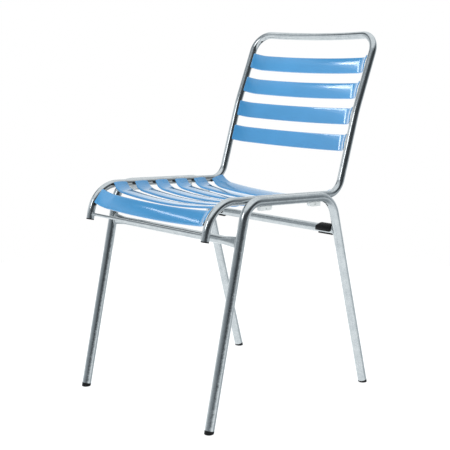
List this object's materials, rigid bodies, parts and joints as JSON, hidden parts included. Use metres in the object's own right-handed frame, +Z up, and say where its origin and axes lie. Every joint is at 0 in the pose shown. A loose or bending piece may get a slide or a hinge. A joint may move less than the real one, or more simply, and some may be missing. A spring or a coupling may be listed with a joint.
{
  "type": "garden chair",
  "caption": "Stacking garden chair with a bent galvanised tube frame and dished glossy blue slats for the seat and the back.",
  "frame": {"origin": "on the floor, under the middle of the chair's bounding box", "axes": "+Z up, -Y towards the front of the chair, +X towards the sitter's left"},
  "size_m": [0.454, 0.5933, 0.8575],
  "materials": {
    "galvanised_steel": "hot-dip galvanised, mottled grey with a soft sheen",
    "slat_blue": "smooth and glossy light blue",
    "black_plastic": "matt black moulding",
    "grey_plastic": "matt light grey moulding"
  },
  "bodies": {
    "root": {"seat_back_frame": "galvanised_steel", "leg_frame_left": "galvanised_steel", "leg_frame_right": "galvanised_steel", "front_crossbar": "galvanised_steel", "rear_crossbar": "galvanised_steel", "front_tie_rod": "galvanised_steel", "seat_slat_1": "slat_blue", "seat_slat_2": "slat_blue", "seat_slat_3": "slat_blue", "seat_slat_4": "slat_blue", "seat_slat_5": "slat_blue", "seat_slat_6": "slat_blue", "seat_slat_7": "slat_blue", "back_slat_1": "slat_blue", "back_slat_2": "slat_blue", "back_slat_3": "slat_blue", "back_slat_4": "slat_blue", "seat_slat_saddles": "black_plastic", "back_slat_saddles": "black_plastic", "nose_plug_left": "black_plastic", "nose_plug_right": "black_plastic", "foot_glide_front_left": "black_plastic", "foot_glide_front_right": "black_plastic", "foot_glide_rear_left": "black_plastic", "foot_glide_rear_right": "black_plastic", "stacking_buffer_left": "black_plastic", "stacking_buffer_right": "black_plastic", "stacking_pad_front_left": "grey_plastic", "stacking_pad_front_right": "grey_plastic", "stacking_pad_rear_left": "grey_plastic", "stacking_pad_rear_right": "grey_plastic"}
  },
  "joints": []
}
